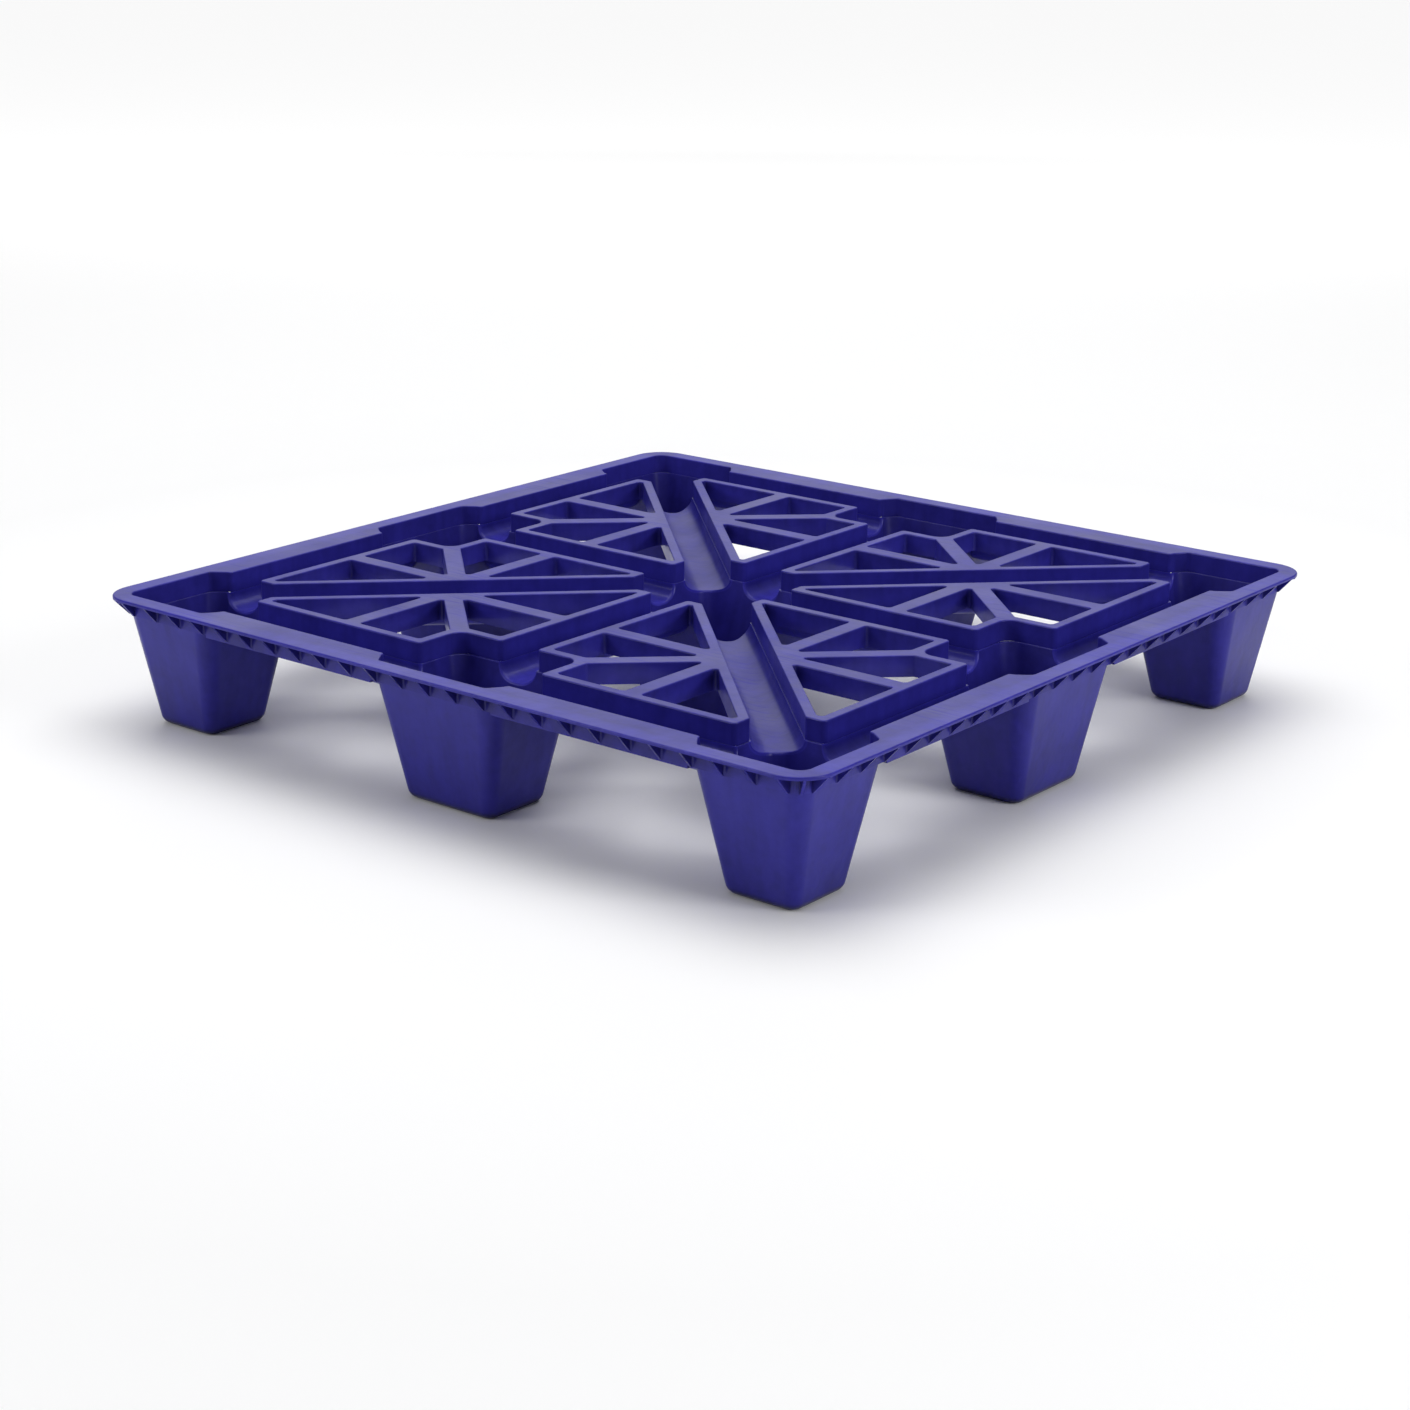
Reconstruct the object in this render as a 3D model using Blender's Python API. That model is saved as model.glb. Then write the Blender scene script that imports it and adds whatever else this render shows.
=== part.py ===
"""Nestable plastic pallet, 1100 x 1100 x 170 mm, moulded in one piece from a 3 mm wall.

The moulding is divided along its own step lines: eight lattice deck panels, sixteen
U-shaped gutters, nine hollow tapered feet, and a flanged rim of four sides and four
corners. Every piece keeps a hairline GAP to its neighbours. The pallet is centred on
the world origin with its soles on z = 0 and its front side towards -Y.
"""

import math

import bmesh
import bpy
from mathutils import Matrix, Vector

# ---- driving dimensions, in metres ----
LENGTH = 1.100  # over the rim flange, the same along X and Y
HEIGHT = 0.170
WALL = 0.003
GAP = 0.0003  # between neighbouring pieces
PAST = 0.012  # how far a cutter runs past the material

STEP_Z = 0.144  # the line where deck panels and rim walls end and gutters and feet begin

RIM_EDGE = LENGTH / 2
RIM_CORNER_RADIUS = 0.046
FLANGE_UNDER_Z = HEIGHT - 0.0042
FLANGE_LIP = 0.0004  # the flange thins by this much at its very edge
SKIRT_OUTER = 0.527
SKIRT_INNER = SKIRT_OUTER - WALL
SKIRT_LOW_Z = 0.141
SKIRT_CORNER_RADIUS = 0.018
SIDE_END = 0.500  # where a rim side meets a rim corner

GUSSET_PITCH = 0.0424
GUSSET_TIP_Z = 0.1425
GUSSET_TOP = (0.547, 0.165)  # distance from the centre, height
GUSSETS_PER_HALF_SIDE = 11  # each side of the one in the middle
CORNER_GUSSET_AT = GUSSET_PITCH * (GUSSETS_PER_HALF_SIDE + 1)

CUP_HALF = 0.0945  # half the width of the middle cups at deck level
CUP_NEAR = 0.3755  # inner side of the outer cups at deck level
# the rim's inner edge at the end of a cup: (distance into the cup, distance from the
# pallet's centre), with the radius of each corner
SHOULDER = ((0.0115, SKIRT_INNER), (-0.0005, 0.508), (-0.0035, 0.500))
SHOULDER_RADII = (0.006, 0.008, 0.005)

EDGE_GUTTER_NEAR = 0.4445
EDGE_GUTTER_FAR = 0.500
EDGE_GUTTER_MIDDLE = (EDGE_GUTTER_NEAR + EDGE_GUTTER_FAR) / 2
CROSS_GUTTER_HALF = 0.028
DIAGONAL_OFFSET = 0.043  # of a panel's long side, measured along X from the diagonal
GUTTER_LEDGE = 0.0006  # the gutter is this much narrower than the walls above it
GUTTER_DEPTH = 0.0185  # of the U below the step line
GUTTER_FLAT = 0.003  # half the width of its flat floor
GUTTER_ARC_STEPS = 5

RIB_EDGE = 0.014
RIB_LONG_SIDE = 0.0185  # measured along X, square to neither face
RIB_INNER = 0.0248
RIB_SPOKE = 0.024
PANEL_OUTER_RADIUS = 0.006
PANEL_NOTCH_RADIUS = 0.018
WINDOW_RADIUS = 0.004
WINDOW_TIP_RADIUS = 0.002
CORNER_STEPS = 2
RIM_CORNER_STEPS = 6

# distance of the two inner ribs from the pallet's centre lines, for the panels that
# lie along the left and right sides and for those along the front and back
RIBS_SIDE_PANEL = (0.2503, 0.2145)
RIBS_END_PANEL = (0.2575, 0.2200)

FOOT_MIDDLE_SOLE = 0.0673  # half width at z = 0, ignoring the rounded lower edge
FOOT_MIDDLE_TOP = 0.0960
FOOT_NEAR_SOLE = 0.4054
FOOT_NEAR_TOP = 0.3748
FOOT_FAR_SOLE = 0.5014
FOOT_RADIUS_SOLE = 0.0134
FOOT_RADIUS_TOP = 0.0240
FOOT_SOLE_INSET = 0.009
FOOT_SOLE_ROUND = 0.010
FOOT_CORNER_STEPS = 3
FOOT_ROUND_STEPS = 3

BLUE_VIOLET = (0.062, 0.054, 0.232, 1.0)
QUARTER = math.pi / 2
SIDES = ("right", "back", "left", "front")  # counted in quarter turns from +X
NAME_ORDER = ("front", "back", "left", "right")


# ---- scene ----
def clear_scene():
    for obj in list(bpy.data.objects):
        bpy.data.objects.remove(obj)


def collection(name, hidden=False):
    made = bpy.data.collections.new(name)
    bpy.context.scene.collection.children.link(made)
    made.hide_render = hidden
    return made


def plastic(name, roughness):
    made = bpy.data.materials.new(name)
    made.use_nodes = True
    shader = made.node_tree.nodes["Principled BSDF"]
    shader.inputs["Base Color"].default_value = BLUE_VIOLET
    shader.inputs["Roughness"].default_value = roughness
    shader.inputs["Metallic"].default_value = 0.0
    return made


def add(name, mesh, material=None, location=(0, 0, 0), turn=0.0):
    """Links a piece when it has a material, and a cutter when it hasn't."""
    obj = bpy.data.objects.new(name, mesh)
    obj.location = location
    obj.rotation_euler = (0, 0, turn)
    if material:
        obj.data.materials.append(material)
        PIECES.objects.link(obj)
        obj.parent = PALLET
    else:
        obj.hide_render = True
        obj.display_type = "WIRE"
        CUTTERS.objects.link(obj)
    return obj


def cut(obj, *cutters):
    for cutter in cutters:
        modifier = obj.modifiers.new("cut " + cutter.name, "BOOLEAN")
        modifier.operation = "DIFFERENCE"
        modifier.solver = "EXACT"
        modifier.object = cutter


def pair_name(first, second):
    """The name of a corner between two sides."""
    return "_".join(sorted((first, second), key=NAME_ORDER.index))


# ---- outlines ----
def rounded(corners, radii, steps=CORNER_STEPS):
    """The outline through these corners, each turned into an arc of its own radius."""
    points = []
    count = len(corners)
    for k, radius in enumerate(radii):
        here = Vector(corners[k])
        back = (Vector(corners[k - 1]) - here).normalized()
        on = (Vector(corners[(k + 1) % count]) - here).normalized()
        if radius <= 0:
            points.append(tuple(here))
            continue
        half = back.angle(on) / 2
        centre = here + (back + on).normalized() * radius / math.sin(half)
        first = here + back * radius / math.tan(half) - centre
        sweep = first.angle_signed(here + on * radius / math.tan(half) - centre)
        for s in range(steps + 1):
            spoke = first.copy()
            spoke.rotate(Matrix.Rotation(-sweep * s / steps, 2))
            points.append(tuple(centre + spoke))
    return points


def shifted(corners, distance):
    """The corners of the same polygon with each edge moved to its left by distance."""
    moved = []
    count = len(corners)
    for k in range(count):
        here = Vector(corners[k])
        along_in = (here - Vector(corners[k - 1])).normalized()
        along_out = (Vector(corners[(k + 1) % count]) - here).normalized()
        left_in = Vector((-along_in.y, along_in.x))
        left_out = Vector((-along_out.y, along_out.x))
        shift = (left_in + left_out) / (1 + left_in.dot(left_out))
        moved.append(tuple(here + shift * distance))
    return moved


def prism(name, outlines, low, high):
    """A mesh: the flat shape between these outlines, from height low to height high."""
    curve = bpy.data.curves.new(name, "CURVE")
    curve.dimensions = "2D"
    curve.fill_mode = "BOTH"
    curve.extrude = (high - low) / 2
    for outline in outlines:
        spline = curve.splines.new("POLY")
        spline.points.add(len(outline) - 1)
        for point, (x, y) in zip(spline.points, outline):
            point.co = (x, y, 0, 1)
        spline.use_cyclic_u = True
    drawn = bpy.data.objects.new(name, curve)
    CUTTERS.objects.link(drawn)
    graph = bpy.context.evaluated_depsgraph_get()
    mesh = bpy.data.meshes.new_from_object(drawn.evaluated_get(graph))
    mesh.name = name
    bpy.data.objects.remove(drawn)
    bpy.data.curves.remove(curve)
    mesh.transform(Matrix.Translation((0, 0, (low + high) / 2)))
    close(mesh)
    return mesh


def close(mesh):
    """Welds the caps to the sides and turns every face outwards."""
    body = bmesh.new()
    body.from_mesh(mesh)
    bmesh.ops.remove_doubles(body, verts=body.verts, dist=1e-6)
    bmesh.ops.recalc_face_normals(body, faces=body.faces)
    body.to_mesh(mesh)
    body.free()


def loft(name, rings):
    """A closed mesh through rings of points that match one another."""
    body = bmesh.new()
    loops = [[body.verts.new(point) for point in ring] for ring in rings]
    for below, above in zip(loops, loops[1:]):
        for k in range(len(below)):
            n = (k + 1) % len(below)
            body.faces.new((below[k], below[n], above[n], above[k]))
    body.faces.new(reversed(loops[0]))
    body.faces.new(loops[-1])
    mesh = bpy.data.meshes.new(name)
    body.to_mesh(mesh)
    body.free()
    return mesh


def rectangle(x0, x1, y0, y1):
    return [(x0, y0), (x1, y0), (x1, y1), (x0, y1)]


# ---- deck panels ----
def panel_corners():
    """Corners and radii of the panel beside the +X axis, on its +Y side."""
    tip = CUP_HALF - DIAGONAL_OFFSET
    end = EDGE_GUTTER_NEAR
    corners = [
        (CUP_HALF, CROSS_GUTTER_HALF),
        (CUP_NEAR, CROSS_GUTTER_HALF),
        (CUP_NEAR, CUP_HALF),
        (end, CUP_HALF),
        (end, CUP_NEAR),
        (CUP_NEAR + DIAGONAL_OFFSET, CUP_NEAR),
        (CUP_HALF, tip),
    ]
    radii = [PANEL_OUTER_RADIUS] * len(corners)
    radii[2] = PANEL_NOTCH_RADIUS
    return corners, radii


def beside(line, distance):
    """A point of the line moved sideways, away from the pallet's centre, and its direction."""
    along = (line[1] - line[0]).normalized()
    return line[0] + Vector((along.y, -along.x)) * distance, along


def height_beside(line, distance, x):
    """Where the line, moved sideways by distance, crosses the given x."""
    start, along = beside(line, distance)
    return start.y + along.y * (x - start.x) / along.x


def width_beside(line, distance, y):
    start, along = beside(line, distance)
    return start.x + along.x * (y - start.y) / along.y


def window_corners(long_rib, cross_rib):
    """Corners and radii of the four windows between the panel's ribs."""
    near_x = CUP_HALF + RIB_EDGE
    near_y = CROSS_GUTTER_HALF + RIB_EDGE
    notch = CUP_NEAR - RIB_EDGE
    shelf = CUP_HALF + RIB_EDGE
    far_x = EDGE_GUTTER_NEAR - RIB_EDGE
    far_y = CUP_NEAR - RIB_EDGE
    slant = DIAGONAL_OFFSET + RIB_LONG_SIDE
    left = long_rib - RIB_INNER / 2
    right = long_rib + RIB_INNER / 2
    under = cross_rib - RIB_INNER / 2
    over = cross_rib + RIB_INNER / 2
    spoke = (Vector((CUP_NEAR, CUP_HALF)), Vector((long_rib, cross_rib)))
    near_spoke = -RIB_SPOKE / 2
    far_spoke = RIB_SPOKE / 2
    hub_window = [
        (near_x, near_y),
        (left, near_y),
        (left, left - slant),
        (near_x, near_x - slant),
    ]
    notch_window = [
        (right, near_y),
        (notch, near_y),
        (notch, height_beside(spoke, near_spoke, notch)),
        (right, height_beside(spoke, near_spoke, right)),
    ]
    shelf_window = [
        (width_beside(spoke, far_spoke, shelf), shelf),
        (far_x, shelf),
        (far_x, under),
        (width_beside(spoke, far_spoke, under), under),
    ]
    corner_window = [
        (over + slant, over),
        (far_x, over),
        (far_x, far_y),
        (far_y + slant, far_y),
    ]
    small = WINDOW_TIP_RADIUS
    usual = WINDOW_RADIUS
    return [
        (hub_window, [small, usual, usual, small]),
        (notch_window, [usual] * 4),
        (shelf_window, [usual] * 4),
        (corner_window, [usual, usual, small, small]),
    ]


def mirrored(outline, sign):
    return [(x, y * sign) for x, y in outline]


def deck_panel(name, material, quarter_turns, sign):
    """An inverted tray: a lattice top with walls down to the step line, hollow underneath."""
    ribs = RIBS_END_PANEL if quarter_turns % 2 else RIBS_SIDE_PANEL
    corners, radii = panel_corners()
    windows = window_corners(*ribs)
    outlines = [rounded(corners, radii)]
    outlines += [rounded(w, r) for w, r in windows]
    hollow_radii = [r - WALL for r in radii]
    hollow_radii[2] = PANEL_NOTCH_RADIUS + WALL
    hollows = [rounded(shifted(corners, WALL), hollow_radii)]
    for window, window_radii in windows:
        hollows.append(rounded(shifted(window, -WALL), [r + WALL for r in window_radii]))
    top = prism(name, [mirrored(o, sign) for o in outlines], STEP_Z + GAP / 2, HEIGHT)
    inside = prism(
        name + " hollow", [mirrored(o, sign) for o in hollows], STEP_Z - PAST, HEIGHT - WALL
    )
    turn = quarter_turns * QUARTER
    panel = add(name, top, material, turn=turn)
    cut(panel, add(name + " hollow", inside, turn=turn))
    return panel


def deck_panels(material):
    for turns, side in enumerate(SIDES):
        for sign in (1, -1):
            neighbour = SIDES[(turns + sign) % 4]
            deck_panel(f"{side}_deck_panel_{neighbour}", material, turns, sign)


# ---- feet ----
def foot_span(place, share):
    """(low, high) of a foot along one axis; share is 0 at the soles, 1 at the step line."""
    if place == 0:
        half = FOOT_MIDDLE_SOLE + (FOOT_MIDDLE_TOP - FOOT_MIDDLE_SOLE) * share
        return -half, half
    near = FOOT_NEAR_SOLE + (FOOT_NEAR_TOP - FOOT_NEAR_SOLE) * share
    far = FOOT_FAR_SOLE + (SKIRT_OUTER - FOOT_FAR_SOLE) * share
    return (near, far) if place > 0 else (-far, -near)


def foot_ring(place_x, place_y, z, inset):
    share = z / STEP_Z
    x0, x1 = foot_span(place_x, share)
    y0, y1 = foot_span(place_y, share)
    radius = FOOT_RADIUS_SOLE + (FOOT_RADIUS_TOP - FOOT_RADIUS_SOLE) * share
    corners = rectangle(x0 + inset, x1 - inset, y0 + inset, y1 - inset)
    flat = rounded(corners, [radius - inset / 2] * 4, FOOT_CORNER_STEPS)
    return [(x, y, z) for x, y in flat]


def foot_rings(place_x, place_y, bottom, top, wall):
    """Rings of a tapered foot with a rounded lower edge, set in by the wall."""
    rings = []
    for k in range(FOOT_ROUND_STEPS + 1):
        turn = QUARTER * k / FOOT_ROUND_STEPS
        rise = FOOT_SOLE_ROUND * (1 - math.cos(turn))
        inset = FOOT_SOLE_INSET * (1 - math.sin(turn))
        rings.append(foot_ring(place_x, place_y, bottom + rise, wall + inset))
    rings.append(foot_ring(place_x, place_y, top, wall))
    return rings


def foot_name(place_x, place_y):
    depth = {-1: "front", 0: "", 1: "back"}[place_y]
    width = {-1: "left", 0: "", 1: "right"}[place_x]
    return "foot_" + ("_".join(word for word in (depth, width) if word) or "centre")


def foot_cavity(place_x, place_y):
    """The cutter that hollows a foot and trims the gutters that open into it."""
    rings = foot_rings(place_x, place_y, WALL, STEP_Z + PAST, WALL)
    name = foot_name(place_x, place_y) + " cavity"
    return add(name, loft(name, rings))


def foot(place_x, place_y, material, cavity, channels):
    name = foot_name(place_x, place_y)
    mesh = loft(name, foot_rings(place_x, place_y, 0.0, STEP_Z - GAP / 2, 0.0))
    centre = [sum(foot_span(place, 0.0)) / 2 for place in (place_x, place_y)]
    mesh.transform(Matrix.Translation((-centre[0], -centre[1], 0)))
    made = add(name, mesh, material, location=(*centre, 0))
    cut(made, cavity, *channels)
    return made


# ---- gutters ----
def u_shape(half_width, outset):
    """Points of the U from its left top, round the floor, to its right top."""
    across = half_width - GUTTER_FLAT + outset
    down = GUTTER_DEPTH + outset
    right = []
    for k in range(GUTTER_ARC_STEPS + 1):
        turn = QUARTER * k / GUTTER_ARC_STEPS
        right.append((GUTTER_FLAT + across * math.sin(turn), STEP_Z - down * math.cos(turn)))
    left = [(-x, z) for x, z in reversed(right)]
    return left + right


def gutter_mesh(name, half_width, length):
    """A U-shaped trough along X, centred on the origin in plan."""
    inside = u_shape(half_width, 0.0)
    outside = u_shape(half_width, WALL)
    top = STEP_Z - GAP / 2
    outline = [(y, min(z, top)) for y, z in outside + inside[::-1]]
    return lying(prism(name, [outline], -length / 2, length / 2))


def gutter_channel(name, half_width, length):
    """The cutter that lets a gutter pass through the wall of a foot."""
    outline = u_shape(half_width, WALL + GAP)
    top = STEP_Z + PAST
    half = outline[-1][0]
    outline += [(half, top), (-half, top)]
    return lying(prism(name, [outline], -length / 2, length / 2))


def lying(mesh):
    """Turns a prism whose outline is (across, up) so that it runs along X."""
    mesh.transform(Matrix(((0, 0, 1, 0), (1, 0, 0, 0), (0, 1, 0, 0), (0, 0, 0, 1))))
    return mesh


def gutter(name, material, half_width, start, end, cavities):
    """A gutter from plan point start to plan point end, trimmed by the feet it opens into."""
    along = Vector(end) - Vector(start)
    middle = (Vector(start) + Vector(end)) / 2
    turn = math.atan2(along.y, along.x)
    place = {"location": (*middle, 0), "turn": turn}
    made = add(name, gutter_mesh(name, half_width, along.length), material, **place)
    cut(made, *cavities)
    channel = name + " channel"
    return add(channel, gutter_channel(channel, half_width, along.length + PAST), **place)


def gutters(material, cavities):
    """Makes all sixteen and returns, for each foot, the channels that cut its wall."""
    channels = {place: [] for place in cavities}

    def run(name, half_width, places, start, end):
        ends = [cavities[place] for place in places]
        channel = gutter(name, material, half_width - GUTTER_LEDGE, start, end, ends)
        for place in places:
            channels[place].append(channel)

    cross_far = (CUP_NEAR + FOOT_NEAR_SOLE) / 2
    cross_near = (CUP_HALF + FOOT_MIDDLE_SOLE) / 2
    edge_half = (EDGE_GUTTER_FAR - EDGE_GUTTER_NEAR) / 2
    diagonal_half = DIAGONAL_OFFSET / math.sqrt(2)
    for turns, side in enumerate(SIDES):
        spin = Matrix.Rotation(turns * QUARTER, 2)
        grid = [Vector((round(c), round(s))) for c, s in (spin.col[0], spin.col[1])]
        middle = (int(grid[0].x), int(grid[0].y))
        run(
            f"{side}_cross_gutter",
            CROSS_GUTTER_HALF,
            ((0, 0), middle),
            spin @ Vector((cross_near, 0)),
            spin @ Vector((cross_far, 0)),
        )
        for sign in (1, -1):
            corner = grid[0] + grid[1] * sign
            run(
                f"{side}_edge_gutter_{SIDES[(turns + sign) % 4]}",
                edge_half,
                (middle, (int(corner.x), int(corner.y))),
                spin @ Vector((EDGE_GUTTER_MIDDLE, cross_near * sign)),
                spin @ Vector((EDGE_GUTTER_MIDDLE, cross_far * sign)),
            )
        corner = grid[0] + grid[1]
        run(
            "diagonal_gutter_" + pair_name(side, SIDES[(turns + 1) % 4]),
            diagonal_half,
            ((0, 0), (int(corner.x), int(corner.y))),
            spin @ Vector((FOOT_MIDDLE_SOLE, FOOT_MIDDLE_SOLE)),
            spin @ Vector((FOOT_NEAR_SOLE, FOOT_NEAR_SOLE)),
        )
    return channels


# ---- rim ----
def rim_profile():
    """Cross-section of a rim side before its cuts, as (distance from centre, height)."""
    inner = EDGE_GUTTER_FAR - PAST / 2
    return [
        (inner, SKIRT_LOW_Z),
        (SKIRT_OUTER, SKIRT_LOW_Z),
        (SKIRT_OUTER, GUSSET_TIP_Z),
        GUSSET_TOP,
        (RIM_EDGE, FLANGE_UNDER_Z + FLANGE_LIP),
        (RIM_EDGE, HEIGHT),
        (inner, HEIGHT),
    ]


def rim_inner_outline():
    """The flange's inner edge with everything inside it: cups bulge out, gutters don't."""
    end = RIM_EDGE
    inside = EDGE_GUTTER_FAR - 2 * PAST
    corners = [(end, inside), (end, SKIRT_INNER)]
    radii = [0, 0]
    for cup_edge, into_cup in ((CUP_NEAR, 1), (CUP_HALF, -1), (-CUP_HALF, 1), (-CUP_NEAR, -1)):
        spots = [(cup_edge + into_cup * x, y) for x, y in SHOULDER]
        corners += spots[::into_cup]
        radii += SHOULDER_RADII[::into_cup]
    corners += [(-end, SKIRT_INNER), (-end, inside)]
    return rounded(corners, radii + [0, 0])


def between_gussets(count, first):
    """Plan rectangles outside the skirt between one gusset and the next."""
    half = WALL / 2
    out = RIM_EDGE + PAST
    bays = []
    for k in range(count):
        start = (first + k) * GUSSET_PITCH + half
        bays.append(rectangle(start, start + GUSSET_PITCH - WALL, SKIRT_OUTER, out))
    return bays


def rim_pockets():
    """The hollow between the gutter's wall and the skirt, one on each side of the middle."""
    x0 = CUP_HALF + WALL
    x1 = CUP_NEAR - WALL
    y0 = EDGE_GUTTER_FAR + WALL
    right = rectangle(x0, x1, y0, SKIRT_INNER)
    left = rectangle(-x1, -x0, y0, SKIRT_INNER)
    return [right, left]


def rim_step_outline():
    """Where the rim's walls stop at the step line: at the feet and over the gutters."""
    behind = (EDGE_GUTTER_FAR + SKIRT_INNER) / 2
    out = RIM_EDGE + PAST
    past_end = RIM_EDGE
    foot_half = FOOT_MIDDLE_TOP + WALL / 2
    foot_near = FOOT_NEAR_TOP - WALL / 2
    right = [
        (past_end, out),
        (foot_near, out),
        (foot_near, behind),
        (foot_half, behind),
        (foot_half, out),
    ]
    left = [(-x, y) for x, y in reversed(right)]
    inside = EDGE_GUTTER_FAR - 2 * PAST
    return [(past_end, inside)] + right + left + [(-past_end, inside)]


def rim_side(name, material, quarter_turns):
    """Built along X at +Y and turned into place."""
    turn = (quarter_turns - 1) * QUARTER
    reach = SIDE_END - GAP / 2
    bar = prism(name, [rim_profile()], -reach, reach)
    side = add(name, lying(bar), material, turn=turn)
    low = SKIRT_LOW_Z - PAST
    inner = prism(name + " inner edge", [rim_inner_outline()], low, HEIGHT + PAST)
    bays = between_gussets(2 * (GUSSETS_PER_HALF_SIDE + 1), -GUSSETS_PER_HALF_SIDE - 1)
    hollows = prism(name + " hollows", bays + rim_pockets(), low, FLANGE_UNDER_Z)
    step = prism(name + " step", [rim_step_outline()], low, STEP_Z + GAP / 2)
    cut(side, *(add(mesh.name, mesh, turn=turn) for mesh in (inner, hollows, step)))
    return side


def rim_corner_outline():
    """A rim corner in plan, where +X meets +Y."""
    start = SIDE_END + GAP / 2
    corners = [
        (start, SKIRT_INNER),
        (start, RIM_EDGE),
        (RIM_EDGE, RIM_EDGE),
        (RIM_EDGE, start),
        (SKIRT_INNER, start),
        (SKIRT_INNER, SKIRT_INNER),
    ]
    radii = [0, 0, RIM_CORNER_RADIUS, 0, 0, SKIRT_CORNER_RADIUS - WALL]
    return rounded(corners, radii, RIM_CORNER_STEPS)


def outside_corner_skirt():
    """Everything outside a rim corner's skirt in plan."""
    out = RIM_EDGE + PAST
    start = SIDE_END - PAST
    corners = [
        (start, SKIRT_OUTER),
        (start, out),
        (out, out),
        (out, start),
        (SKIRT_OUTER, start),
        (SKIRT_OUTER, SKIRT_OUTER),
    ]
    return rounded(corners, [0, 0, 0, 0, 0, SKIRT_CORNER_RADIUS], RIM_CORNER_STEPS)


def corner_gussets():
    """For each gusset: its frame, the skirt's distance along its +Y, and its extra length."""
    skirt_centre = SKIRT_OUTER - SKIRT_CORNER_RADIUS
    diagonal = Matrix.Translation((skirt_centre, skirt_centre, 0))
    diagonal @= Matrix.Rotation(-QUARTER / 2, 4, "Z")
    growth = (RIM_CORNER_RADIUS - SKIRT_CORNER_RADIUS) * (math.sqrt(2) - 1) / 4
    sideways = Matrix.Rotation(-QUARTER, 4, "Z")
    return {
        "first gusset": (Matrix.Translation((CORNER_GUSSET_AT, 0, 0)), SKIRT_OUTER, 0.0),
        "middle gusset": (diagonal, SKIRT_CORNER_RADIUS, growth),
        "last gusset": (
            Matrix.Translation((0, CORNER_GUSSET_AT, 0)) @ sideways,
            SKIRT_OUTER,
            0.0,
        ),
    }


def gusset_slope(skirt, growth):
    """Everything outside and below a corner gusset's sloping edge, as (distance, height)."""
    out = skirt + 3 * PAST
    low = GUSSET_TIP_Z - PAST
    return [
        (skirt, low),
        (out, low),
        (out, GUSSET_TOP[1]),
        (skirt + GUSSET_TOP[0] - SKIRT_OUTER + growth, GUSSET_TOP[1]),
        (skirt, GUSSET_TIP_Z),
    ]


def rim_corner(name, material, quarter_turns):
    """Built where +X meets +Y and turned into place."""
    turn = quarter_turns * QUARTER
    low = STEP_Z + GAP / 2
    corner = add(name, prism(name, [rim_corner_outline()], low, HEIGHT), material, turn=turn)
    label = name + " under flange"
    space = prism(label, [outside_corner_skirt()], low - PAST, FLANGE_UNDER_Z)
    under = add(label, space, turn=turn)
    half = WALL / 2
    for which, (matrix, skirt, growth) in corner_gussets().items():
        outline = rectangle(-half, half, skirt - half, skirt + 3 * PAST)
        plate = prism("plate", [outline], low - 2 * PAST, HEIGHT + PAST)
        plate.transform(matrix)
        cut(under, add(f"{name} {which}", plate, turn=turn))
        slope = lying(prism("slope", [gusset_slope(skirt, growth)], -WALL, WALL))
        slope.transform(matrix)
        cut(corner, add(f"{name} {which} slope", slope, turn=turn))
    cut(corner, under)
    return corner


def rim(material):
    for turns, side in enumerate(SIDES):
        rim_side("rim_" + side, material, turns)
        corner = "rim_corner_" + pair_name(side, SIDES[(turns + 1) % 4])
        rim_corner(corner, material, turns)


# ---- the pallet ----
def pallet():
    deck = plastic("deck_plastic", 0.42)
    channel = plastic("gutter_plastic", 0.36)
    leg = plastic("foot_plastic", 0.40)
    edge = plastic("rim_plastic", 0.44)
    deck_panels(deck)
    grid = [(x, y) for x in (-1, 0, 1) for y in (-1, 0, 1)]
    cavities = {place: foot_cavity(*place) for place in grid}
    channels = gutters(channel, cavities)
    for place in grid:
        foot(*place, leg, cavities[place], channels[place])
    rim(edge)


clear_scene()
PIECES = collection("plastic pallet")
CUTTERS = collection("cutters", hidden=True)
PALLET = bpy.data.objects.new("pallet", None)
PIECES.objects.link(PALLET)
pallet()
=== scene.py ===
"""Looks of the one-piece nestable plastic pallet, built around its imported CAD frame.

Every CAD node is replaced by a finer shell of the same shape: rounded deck edges, flared
gutter ends, filleted feet and gussets. Neighbouring shells meet edge to edge, so that
together they read as one moulding.
"""

import math

import bmesh
import bpy
from mathutils import Matrix, Vector


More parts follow.
